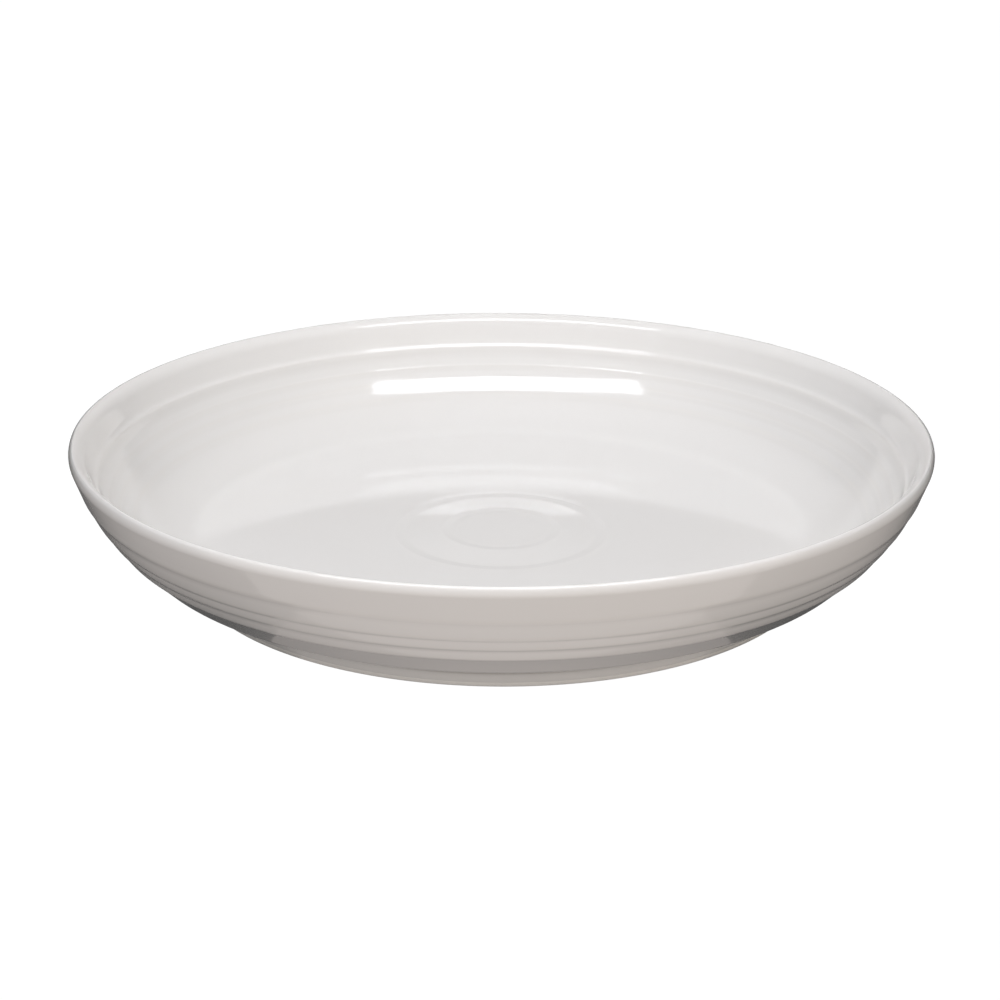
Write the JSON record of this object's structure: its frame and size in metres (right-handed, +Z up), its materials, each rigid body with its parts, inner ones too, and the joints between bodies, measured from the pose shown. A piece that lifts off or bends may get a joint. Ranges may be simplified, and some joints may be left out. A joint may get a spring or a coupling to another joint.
{
  "type": "salad bowl",
  "caption": "Wide, shallow, round pottery salad bowl with a rounded lip, soft rings around its wall and well, and a foot ring it stands on; holds salad or other food.",
  "frame": {"origin": "centre of the foot ring's standing face, on the table", "axes": "+Z up along the bowl's axis, out of its mouth; X and Y are any two directions across the rim, because the bowl is round"},
  "size_m": [0.2638, 0.2638, 0.0436],
  "materials": {
    "bare_clay": "matte, fired and unglazed where it shows on the foot's standing face",
    "white_glaze": "glossy warm off-white glaze, a little thinner on the ridges and the lip"
  },
  "bodies": {
    "root": {"clay_body": "bare_clay", "glaze_coat": "white_glaze", "base_glaze": "white_glaze"}
  },
  "joints": []
}
